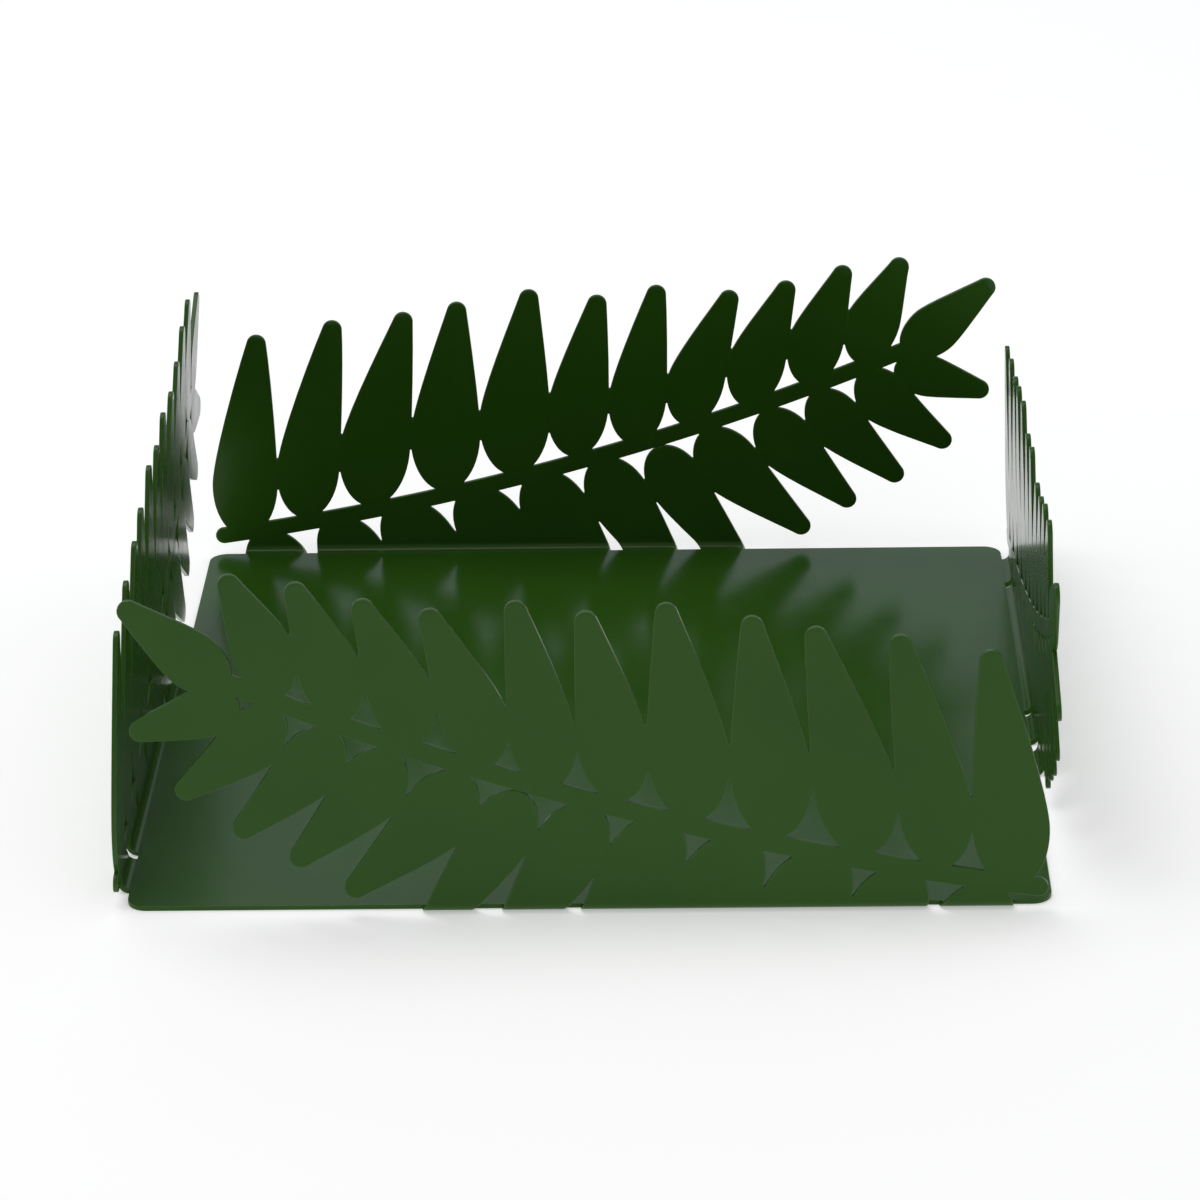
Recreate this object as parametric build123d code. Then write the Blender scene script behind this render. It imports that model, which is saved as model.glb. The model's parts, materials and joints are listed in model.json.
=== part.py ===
"""Napkin tray of folded sheet steel: a square floor and four openwork fern sides.

Millimetres, +Z up. The origin is the middle of the underside of the floor, the front is -Y.
Every side carries the same fern frond. Seen from outside, the stem starts low at the right
and climbs to the left, so the four fronds follow each other round the tray.
"""
from math import atan2, degrees, hypot
import os

from build123d import *

# Sheet and folds
SHEET = 1.0               # thickness of the steel
FLOOR_SIZE = 180.0        # floor between opposite fold lines, both ways
FLOOR_CORNER = 4.0        # radius of the floor's free corners
BEND_INSIDE = 1.5         # inside radius of the folds
FOLD_ANGLE = 92.0         # the sides are folded two degrees past upright
SIDE_HEIGHT = 75.0        # sheet height the fronds are cut from

# Fern frond, in a side's own plane: u runs along the fold line from the low end of the stem
# (u = 0 is the middle of the side), v is the height above the underside of the floor.
STEM_WIDTH = 3.8
STEM_START = (-87.0, 4.8)
STEM_MIDDLE = (0.0, 23.9)
STEM_END = (68.0, 48.6)

SLIT_END = 0.15           # radius left by the cutting beam where two outlines meet
SMOOTH_TURN = 25.0        # outlines that meet at less than this angle need no rounding
TIP_RADIUS = 2.2          # every leaflet ends in a small round tip
TIP_TAPER = 12.5          # half angle between the two flanks where they meet the tip
FLANK_PULL = 0.2          # how far a flank keeps its starting direction, share of the length

# Leaflets above the stem, from the low end: belly centre, half width, tip centre
UPPER_LEAFLETS = [
    ((-81.6, 17.2), 7.4, (-77.4, 51.7)),
    ((-67.1, 21.0), 7.1, (-60.2, 55.0)),
    ((-51.8, 25.3), 8.0, (-44.2, 56.8)),
    ((-35.6, 28.8), 7.9, (-32.1, 59.1)),
    ((-19.8, 32.8), 8.0, (-15.9, 61.9)),
    ((-5.5, 35.2), 6.9, (-0.7, 60.4)),
    ((8.0, 37.4), 6.5, (12.6, 62.6)),
    ((21.2, 41.6), 6.4, (28.8, 61.2)),
    ((34.9, 46.0), 6.4, (41.5, 63.3)),
    ((48.2, 50.8), 6.2, (54.1, 66.8)),
    ((60.9, 55.4), 6.1, (66.7, 68.5)),
]
# The pair of leaflets at the end of the stem
END_LEAFLETS = [
    ((74.5, 53.4), 5.8, (86.0, 63.4)),
    ((73.0, 42.4), 5.0, (84.9, 38.9)),
]
# Leaflets below the stem, from the high end; the later ones run down into the floor
LOWER_LEAFLETS = [
    ((63.8, 36.4), 6.1, (76.7, 26.7)),
    ((52.8, 31.1), 6.3, (66.0, 18.5)),
    ((41.6, 26.0), 6.7, (55.2, 12.4)),
    ((28.6, 20.8), 7.2, (44.8, 5.8)),
    ((16.3, 17.3), 6.4, (33.0, -7.0)),
    ((3.3, 13.6), 7.1, (19.0, -12.0)),
    ((-10.8, 9.7), 7.7, (5.0, -16.0)),
    ((-25.7, 6.0), 7.8, (-5.0, -18.0)),
    ((-42.0, 2.5), 8.1, (-18.8, -20.0)),
    ((-57.6, -0.4), 7.3, (-40.0, -20.0)),
    ((-74.2, -3.8), 7.3, (-62.0, -20.0)),
]
# How the leaflets of a row sit on the stem: the direction in which they leave it, how far
# the belly already leans the way its blade does (0 to 1), and how long the rounded root end
# is against the half width
UPPER_SHAPE = (94.0, 0.7, 1.7)
END_SHAPE = (0.0, 1.0, 1.5)
LOWER_SHAPE = (-66.0, 0.35, 1.45)


def point_at(centre, distance, angle):
    """The point at a distance and direction (degrees) from a centre."""
    return Vector(*centre) + Vector(1, 0).rotate(Axis.Z, angle) * distance


def leaflet(belly, half_width, tip, root_angle, lean_share, stretch):
    """One leaflet: half an ellipse at the root, two curved flanks and a round tip."""
    reach = hypot(tip[0] - belly[0], tip[1] - belly[1])
    blade_angle = degrees(atan2(tip[1] - belly[1], tip[0] - belly[0]))
    belly_angle = blade_angle * lean_share + root_angle * (1 - lean_share)

    def flank(side):
        turn = 90 * side
        start = point_at(belly, half_width, belly_angle + turn)
        tip_turn = (90 - TIP_TAPER) * side
        end = point_at(tip, TIP_RADIUS, blade_angle + tip_turn)
        pull = reach * FLANK_PULL
        leave = start + Vector(1, 0).rotate(Axis.Z, belly_angle) * pull
        arrive = end - Vector(1, 0).rotate(Axis.Z, blade_angle - TIP_TAPER * side) * pull
        return Bezier(start, leave, arrive, end)

    left = flank(1)
    right = flank(-1)
    top = ThreePointArc(left @ 1, point_at(tip, TIP_RADIUS, blade_angle), right @ 1)
    root = EllipticalCenterArc(
        belly, half_width, half_width * stretch, 180, arc_size=180, rotation=belly_angle - 90)
    return make_face([left, top, right, root])


def stem():
    """The stem: a bar of even width along a slow curve, round at both ends."""
    middle = ThreePointArc(STEM_START, STEM_MIDDLE, STEM_END)
    bar = trace(middle, STEM_WIDTH)
    ends = [Pos(*end) * Circle(STEM_WIDTH / 2) for end in (STEM_START, STEM_END)]
    return bar + ends


def frond():
    """The whole frond as one flat outline."""
    upper = [leaflet(*row, *UPPER_SHAPE) for row in UPPER_LEAFLETS]
    end = [leaflet(*row, *END_SHAPE) for row in END_LEAFLETS]
    lower = [leaflet(*row, *LOWER_SHAPE) for row in LOWER_LEAFLETS]
    return stem() + upper + end + lower


def side_sheet():
    """The bare folded sheet of one side: a fold along u at y = 0 and a leaning wall.

    It is drawn in the plane across the fold line, y pointing out of the tray.
    """
    bend_centre = (0, SHEET + BEND_INSIDE)
    fold_end = FOLD_ANGLE - 90
    inner = CenterArc(bend_centre, BEND_INSIDE, -90, FOLD_ANGLE)
    outer = CenterArc(bend_centre, BEND_INSIDE + SHEET, -90, FOLD_ANGLE)
    up = Vector(0, 1).rotate(Axis.Z, fold_end) * SIDE_HEIGHT
    inner_wall = Line(inner @ 1, (inner @ 1) + up)
    outer_wall = Line(outer @ 1, (outer @ 1) + up)
    rim = Line(inner_wall @ 1, outer_wall @ 1)
    fold_edge = Line(inner @ 0, outer @ 0)
    section = make_face([fold_edge, inner, inner_wall, rim, outer_wall, outer])
    return extrude(Plane.YZ * section, FLOOR_SIZE / 2, both=True)


def meeting_edges(prism):
    """The edges of the frond's prism where two outlines cross, all of them inner corners."""
    walls_at = {}
    for wall in prism.faces():
        for edge in wall.edges().filter_by(Axis.Y):
            spot = (round(edge.center().X, 3), round(edge.center().Z, 3))
            walls_at.setdefault(spot, []).append((edge, wall.normal_at(edge.center())))
    pairs = walls_at.values()
    return [edge for (edge, one), (_, other) in pairs if one.get_angle(other) > SMOOTH_TURN]


def fern_side():
    """One side: the folded sheet with everything but the frond cut away."""
    reach = BEND_INSIDE + 3 * SHEET
    prism = extrude(Plane.XZ.offset(-reach) * frond(), 2 * reach)
    return side_sheet() & fillet(meeting_edges(prism), SLIT_END)


def floor():
    """The flat floor with its rounded free corners."""
    plate = RectangleRounded(FLOOR_SIZE, FLOOR_SIZE, FLOOR_CORNER)
    return extrude(plate, SHEET)


def write(shape, node):
    """Write one piece, in place, as its own STEP file."""
    export_step(shape, f"parts/{node}.step")


os.makedirs("parts", exist_ok=True)
write(floor(), "floor")
side = Pos(0, FLOOR_SIZE / 2, 0) * fern_side()
for quarter_turn, name in enumerate(["fern_back", "fern_left", "fern_front", "fern_right"]):
    write(Rot(0, 0, 90 * quarter_turn) * side, name)
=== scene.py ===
"""Looks of the folded-sheet napkin tray: softened paint edges, satin green powder coat, studio.

Metres, in the CAD frame: +Z up, front -Y, the tray's underside at z = 0.
The real tray is one folded sheet, so the five CAD nodes are first joined into one skin. Its
edges are softened there, and the skin is then cut back into five pieces along the fold lines.
"""

import json
from math import cos, pi, radians, sin

import bmesh
import bpy
from mathutils import Matrix, Vector

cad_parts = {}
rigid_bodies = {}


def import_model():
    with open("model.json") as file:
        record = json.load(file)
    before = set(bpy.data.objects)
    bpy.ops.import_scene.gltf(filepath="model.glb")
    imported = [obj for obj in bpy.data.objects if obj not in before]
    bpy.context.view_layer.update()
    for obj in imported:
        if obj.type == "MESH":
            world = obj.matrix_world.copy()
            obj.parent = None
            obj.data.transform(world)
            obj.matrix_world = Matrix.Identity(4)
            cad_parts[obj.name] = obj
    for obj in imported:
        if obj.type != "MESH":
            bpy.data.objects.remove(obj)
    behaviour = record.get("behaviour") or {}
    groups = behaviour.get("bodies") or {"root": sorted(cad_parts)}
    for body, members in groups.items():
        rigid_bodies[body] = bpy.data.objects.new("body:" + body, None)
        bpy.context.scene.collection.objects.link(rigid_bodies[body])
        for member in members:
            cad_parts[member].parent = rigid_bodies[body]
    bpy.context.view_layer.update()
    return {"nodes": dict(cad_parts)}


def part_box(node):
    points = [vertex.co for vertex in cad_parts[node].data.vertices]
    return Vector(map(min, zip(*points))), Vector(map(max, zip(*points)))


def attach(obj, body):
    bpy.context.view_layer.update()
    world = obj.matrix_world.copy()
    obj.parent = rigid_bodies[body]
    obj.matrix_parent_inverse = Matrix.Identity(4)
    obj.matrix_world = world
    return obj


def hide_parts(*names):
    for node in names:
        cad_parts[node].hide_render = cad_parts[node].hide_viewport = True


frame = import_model()

# The sheet
FLOOR_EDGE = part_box("floor")[1].x     # distance from the middle to a fold line
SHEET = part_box("floor")[1].z          # thickness of the floor
BEND_TOP = 2.5 * SHEET                # height at which the folds end and the sides are flat
SEAM_GAP = 0.000002                   # vertices of one CAD node nearer than this are one
SAME_POINT = 0.00002                  # vertices of the joined skin nearer than this are one
PAINT_ROUND = 0.00017                 # radius that the paint gives every cut edge
ROUND_STEPS = 3                       # faces across a rounded edge
SHARP_TURN = radians(45)              # a turn of the surface that stays a crease
CUT_SLOPE = 0.3                       # how far a face may lean and still count as cut or as flat
MITRE_LIMIT = 1.0                     # keeps the rounding short at the ends of narrow slits

# The side that each fern stands on, as the direction it faces
SIDES = {
    "fern_front": Vector((0, -1, 0)),
    "fern_right": Vector((1, 0, 0)),
    "fern_back": Vector((0, 1, 0)),
    "fern_left": Vector((-1, 0, 0)),
}
PIECES = ["floor", *SIDES]

# The paint, in linear colours
PAINT_DARK = (0.0235, 0.082, 0.0058, 1)
PAINT_LIGHT = (0.0275, 0.093, 0.0074, 1)
EDGE_THIN_COAT_AND_HIGHLIGHT = (0.075, 0.150, 0.045, 1)  # over the rounded cut edges, partly where the film is thin and partly a painted highlight
PEEL_DEPTH = 0.000008                 # height of the orange peel
NOISE_LOW, NOISE_HIGH = 0.3, 0.7      # noise seldom goes outside these

# The table: a square with sides of 12 m that glows a little, so that it shows white
TABLE_HALF = 6.0
TABLE_WHITE = (0.85, 0.85, 0.85, 1)
TABLE_GLOW = 0.37

# The camera: a long lens, well back and a little above the rim
CAMERA_PLACE = (0.0258, -0.9320, 0.4215)
CAMERA_HEADING = radians(1.52)        # turned to the left of +Y
CAMERA_DOWN = radians(22.95)
CAMERA_ROLL = radians(-1.15)
CAMERA_LENS = 145.3                   # millimetres
CAMERA_SENSOR = 36.0                  # millimetres


def welded_copy(name):
    """A copy of a CAD node's mesh with its doubled vertices joined, as a new object."""
    mesh = frame["nodes"][name].data.copy()
    bm = bmesh.new()
    bm.from_mesh(mesh)
    bmesh.ops.remove_doubles(bm, verts=bm.verts, dist=SEAM_GAP)
    bm.to_mesh(mesh)
    bm.free()
    return bpy.data.objects.new(name + "_solid", mesh)


def joined_skin():
    """The floor and the four ferns as one closed mesh."""
    skin = welded_copy("floor")
    bpy.context.scene.collection.objects.link(skin)
    ferns = bpy.data.collections.new("ferns")
    bpy.context.scene.collection.children.link(ferns)
    for name in SIDES:
        ferns.objects.link(welded_copy(name))
    union = skin.modifiers.new("union", "BOOLEAN")
    union.operation = "UNION"
    union.operand_type = "COLLECTION"
    union.collection = ferns
    union.solver = "EXACT"
    mesh = evaluated_mesh(skin)
    for solid in [skin, *ferns.objects]:
        bpy.data.objects.remove(solid)
    bpy.data.collections.remove(ferns)
    return mesh


def evaluated_mesh(obj):
    """The object's mesh with its modifiers applied."""
    graph = bpy.context.evaluated_depsgraph_get()
    return bpy.data.meshes.new_from_object(obj.evaluated_get(graph))


def is_floor(middle):
    """True for a place on the floor, inside the fold lines."""
    return max(abs(middle.x), abs(middle.y)) < FLOOR_EDGE + SAME_POINT and middle.z < 2 * SHEET


def is_cut(face):
    """True for a wall that the laser cut, false for the sheet's own two surfaces."""
    middle = face.calc_center_median()
    if is_floor(middle):
        return abs(face.normal.z) < CUT_SLOPE
    facing = max(SIDES.values(), key=middle.dot)
    if middle.z < BEND_TOP:
        along = facing.cross(Vector((0, 0, 1)))
        return abs(face.normal.dot(along)) > CUT_SLOPE
    return abs(face.normal.dot(facing)) < CUT_SLOPE


def piece_name(face):
    """The piece that a face of the joined skin belongs to."""
    middle = face.calc_center_median()
    if is_floor(middle):
        return "floor"
    return max(SIDES, key=lambda name: middle.dot(SIDES[name]))


class Rim:
    """One corner of the sheet's outline, and where the paint's rounding begins and ends."""

    def __init__(self, vert):
        self.place = vert.co.copy()
        self.out_of_edge = Vector()
        self.out_of_face = Vector()
        self.surface_vert = None
        self.wall_vert = None

    def add_edge(self, outward, normal):
        """One of the two outline edges that meet here."""
        self.out_of_edge += outward
        self.out_of_face += normal

    def row(self, bm, edge_thin_coat_and_highlight):
        """The vertices across the rounding, from the sheet's surface to the cut wall."""
        side = self.out_of_edge * 2 / max(self.out_of_edge.length_squared, MITRE_LIMIT)
        side *= PAINT_ROUND
        up = self.out_of_face.normalized() * PAINT_ROUND
        centre = self.place - side - up
        self.surface_vert.co = centre + up
        self.wall_vert.co = centre + side
        turns = [pi / 2 * step / ROUND_STEPS for step in range(1, ROUND_STEPS)]
        between = [bm.verts.new(centre + up * cos(turn) + side * sin(turn)) for turn in turns]
        for vert in between:
            # the middle of the rounding gets the lighter edge paint: partly thin paint, partly a
            # painted highlight
            vert[edge_thin_coat_and_highlight] = 1.0
        return [self.surface_vert, *between, self.wall_vert]


def find_outline(bm, is_wall, piece):
    """The edges between the sheet's surfaces and its cut walls, and what rounding them needs.

    Returns the edges, a Rim for every vertex on them by its index, and for each edge its two
    vertices' indices, in the order that its surface has them, with that surface's piece.
    """
    outline = []
    rims = {}
    spans = []
    for edge in bm.edges:
        surfaces = [face for face in edge.link_faces if not face[is_wall]]
        if len(surfaces) != 1:
            continue
        outline.append(edge)
        loop = next(loop for loop in edge.link_loops if loop.face is surfaces[0])
        start, end = loop.vert, loop.link_loop_next.vert
        outward = (end.co - start.co).normalized().cross(surfaces[0].normal)
        for vert in (start, end):
            rims.setdefault(vert.index, Rim(vert)).add_edge(outward, surfaces[0].normal)
        spans.append((start.index, end.index, surfaces[0][piece]))
    return outline, rims, spans


def soften(mesh):
    """Cleans the joined skin and rounds its cut edges as paint does.

    The sheet's surfaces and the cut walls come apart along the outline, both draw back from
    it by the rounding's radius, and rows of new faces join them again. The skin is left with
    each face's piece, and with a vertex mask, 1 in the middle of a rounded edge, that makes the
    paint lighter there: partly thin paint, partly a painted highlight.
    """
    bm = bmesh.new()
    bm.from_mesh(mesh)
    bmesh.ops.remove_doubles(bm, verts=bm.verts, dist=SAME_POINT)
    origin = bm.verts.layers.int.new("origin")
    is_wall = bm.faces.layers.int.new("is_wall")
    piece = bm.faces.layers.int.new("piece")
    edge_thin_coat_and_highlight = bm.verts.layers.float.new("edge_thin_coat_and_highlight")
    for vert in bm.verts:
        vert[origin] = vert.index
    for face in bm.faces:
        face[is_wall] = is_cut(face)
        face[piece] = PIECES.index(piece_name(face))
    outline, rims, spans = find_outline(bm, is_wall, piece)
    bmesh.ops.split_edges(bm, edges=outline)
    for face in bm.faces:
        for vert in face.verts:
            rim = rims.get(vert[origin])
            if rim and face[is_wall]:
                rim.wall_vert = vert
            elif rim:
                rim.surface_vert = vert
    rows = {index: rim.row(bm, edge_thin_coat_and_highlight) for index, rim in rims.items()}
    for start, end, owner in spans:
        one, two = rows[start], rows[end]
        for step in range(ROUND_STEPS):
            face = bm.faces.new((one[step], one[step + 1], two[step + 1], two[step]))
            face[piece] = owner
    for face in bm.faces:
        face.smooth = True
    bm.normal_update()
    for edge in bm.edges:
        edge.smooth = edge.calc_face_angle(0) < SHARP_TURN
    bm.to_mesh(mesh)
    bm.free()


def keep_normals(mesh):
    """Works out normals that keep flat faces flat, and stores them as a corner attribute."""
    obj = bpy.data.objects.new("shading", mesh)
    bpy.context.scene.collection.objects.link(obj)
    weighted = obj.modifiers.new("weighted", "WEIGHTED_NORMAL")
    weighted.keep_sharp = True
    shaded = evaluated_mesh(obj)
    bpy.data.objects.remove(obj)
    kept = shaded.attributes.new("kept_normal", "FLOAT_VECTOR", "CORNER")
    for corner, normal in zip(kept.data, shaded.corner_normals):
        corner.vector = normal.vector
    return shaded


def cut_piece(skin, name):
    """One piece of the joined skin, closed at its fold line, with the skin's own shading.

    The faces that close it have no kept normal, so they are shaded flat.
    """
    bm = bmesh.new()
    bm.from_mesh(skin)
    piece = bm.faces.layers.int["piece"]
    others = [face for face in bm.faces if face[piece] != PIECES.index(name)]
    bmesh.ops.delete(bm, geom=others, context="FACES")
    open_edges = [edge for edge in bm.edges if edge.is_boundary]
    caps = bmesh.ops.holes_fill(bm, edges=open_edges)["faces"]
    for face in caps:
        face.smooth = False
    mesh = bpy.data.meshes.new(name + "_sheet")
    bm.to_mesh(mesh)
    bm.free()
    normals = [corner.vector.copy() for corner in mesh.attributes["kept_normal"].data]
    mesh.attributes.remove(mesh.attributes["kept_normal"])
    mesh.normals_split_custom_set(normals)
    obj = bpy.data.objects.new(name + "_sheet", mesh)
    bpy.context.scene.collection.objects.link(obj)
    return obj


def node(tree, kind, **values):
    """A new shader node; values set its inputs by name."""
    made = tree.nodes.new(kind)
    for name, value in values.items():
        made.inputs[name.replace("_", " ")].default_value = value
    return made


def noise(tree, place, features_per_metre, detail):
    """A noise pattern in the object's own frame, from 0 to 1."""
    made = node(tree, "ShaderNodeTexNoise", Scale=features_per_metre, Detail=detail)
    tree.links.new(place, made.inputs["Vector"])
    return made.outputs["Fac"]


def ranged(tree, value, low, high):
    """A noise value stretched to run from low to high."""
    made = node(tree, "ShaderNodeMapRange", To_Min=low, To_Max=high)
    made.inputs["From Min"].default_value = NOISE_LOW
    made.inputs["From Max"].default_value = NOISE_HIGH
    tree.links.new(value, made.inputs["Value"])
    return made.outputs["Result"]


def green_paint():
    """Satin leaf-green powder coat on sheet steel, lighter in patches on the rounded edges:
    partly thin paint, partly a painted highlight.
    """
    material = bpy.data.materials.new("green_paint_satin")
    material.use_nodes = True
    tree = material.node_tree
    shader = tree.nodes["Principled BSDF"]
    place = tree.nodes.new("ShaderNodeTexCoord").outputs["Object"]

    cloud = noise(tree, place, 28.0, 3.0)
    shade = tree.nodes.new("ShaderNodeMix")
    shade.data_type = "RGBA"
    shade.inputs["A"].default_value = PAINT_DARK
    shade.inputs["B"].default_value = PAINT_LIGHT
    tree.links.new(ranged(tree, cloud, 0.0, 1.0), shade.inputs["Factor"])

    # The rounded edges are lightened in patches, partly for thin paint and partly as a painted
    # highlight of the light they catch.
    edges = tree.nodes.new("ShaderNodeAttribute")
    edges.attribute_name = "edge_thin_coat_and_highlight"
    patches = noise(tree, place, 60.0, 4.0)
    edge_lightening_mask = tree.nodes.new("ShaderNodeMath")
    edge_lightening_mask.operation = "MULTIPLY"
    tree.links.new(edges.outputs["Fac"], edge_lightening_mask.inputs[0])
    tree.links.new(ranged(tree, patches, 0.3, 1.0), edge_lightening_mask.inputs[1])
    edge_lightened_paint = tree.nodes.new("ShaderNodeMix")
    edge_lightened_paint.data_type = "RGBA"
    edge_lightened_paint.inputs["B"].default_value = EDGE_THIN_COAT_AND_HIGHLIGHT
    tree.links.new(edge_lightening_mask.outputs["Value"], edge_lightened_paint.inputs["Factor"])
    tree.links.new(shade.outputs["Result"], edge_lightened_paint.inputs["A"])
    tree.links.new(edge_lightened_paint.outputs["Result"], shader.inputs["Base Color"])

    shader.inputs["Specular IOR Level"].default_value = 0.2
    sheen_spots = noise(tree, place, 140.0, 4.0)
    tree.links.new(ranged(tree, sheen_spots, 0.17, 0.23), shader.inputs["Roughness"])

    peel = noise(tree, place, 900.0, 2.0)
    bump = node(tree, "ShaderNodeBump", Strength=1.0, Distance=PEEL_DEPTH)
    tree.links.new(peel, bump.inputs["Height"])
    tree.links.new(bump.outputs["Normal"], shader.inputs["Normal"])
    return material


def pale_floor():
    """The pale table that the tray stands on, with a little light of its own."""
    mesh = bpy.data.meshes.new("table")
    quarters = [(-1, -1), (1, -1), (1, 1), (-1, 1)]
    corners = [(x * TABLE_HALF, y * TABLE_HALF, 0) for x, y in quarters]
    mesh.from_pydata(corners, [], [(0, 1, 2, 3)])
    obj = bpy.data.objects.new("table", mesh)
    bpy.context.scene.collection.objects.link(obj)
    material = bpy.data.materials.new("table_white")
    material.use_nodes = True
    shader = material.node_tree.nodes["Principled BSDF"]
    shader.inputs["Base Color"].default_value = TABLE_WHITE
    shader.inputs["Roughness"].default_value = 0.9
    shader.inputs["Specular IOR Level"].default_value = 0.1
    shader.inputs["Emission Color"].default_value = (1, 1, 1, 1)
    shader.inputs["Emission Strength"].default_value = TABLE_GLOW
    mesh.materials.append(material)


def soft_light(name, place, width, height, power, colour=(1, 1, 1)):
    """A rectangular softbox that faces the tray, in metres and watts."""
    data = bpy.data.lights.new(name, "AREA")
    data.shape = "RECTANGLE"
    data.size = width
    data.size_y = height
    data.energy = power
    data.color = colour
    obj = bpy.data.objects.new(name, data)
    obj.location = place
    obj.rotation_euler = (-Vector(place)).to_track_quat("-Z", "Y").to_euler()
    bpy.context.scene.collection.objects.link(obj)


def studio():
    """Even white surroundings, a softbox above and one behind."""
    world = bpy.data.worlds.new("studio")
    world.use_nodes = True
    background = world.node_tree.nodes["Background"]
    background.inputs["Color"].default_value = (1, 1, 1, 1)
    background.inputs["Strength"].default_value = 0.42
    bpy.context.scene.world = world
    bpy.context.scene.view_settings.view_transform = "Standard"
    soft_light("softbox_above", (-0.3, 0.2, 1.4), 1.0, 1.0, 8.0)
    soft_light("softbox_behind", (0.2, 1.6, 0.75), 2.4, 1.0, 1.6, colour=(0.75, 0.95, 1.3))


def camera():
    """A long lens, well back and a little above the rim."""
    data = bpy.data.cameras.new("camera")
    data.lens = CAMERA_LENS
    data.sensor_width = CAMERA_SENSOR
    data.clip_start = 0.01
    obj = bpy.data.objects.new("camera", data)
    heading = Matrix.Rotation(CAMERA_HEADING, 4, "Z")
    tilt = Matrix.Rotation(pi / 2 - CAMERA_DOWN, 4, "X")
    roll = Matrix.Rotation(CAMERA_ROLL, 4, "Z")
    obj.matrix_world = Matrix.Translation(CAMERA_PLACE) @ heading @ tilt @ roll
    bpy.context.scene.collection.objects.link(obj)
    bpy.context.scene.camera = obj


def tray():
    """The five painted pieces, each in place of its CAD node."""
    mesh = joined_skin()
    soften(mesh)
    skin = keep_normals(mesh)
    paint = green_paint()
    for name in PIECES:
        piece = cut_piece(skin, name)
        piece.data.materials.clear()
        piece.data.materials.append(paint)
        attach(piece, "root")
        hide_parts(name)


tray()
pale_floor()
studio()
camera()
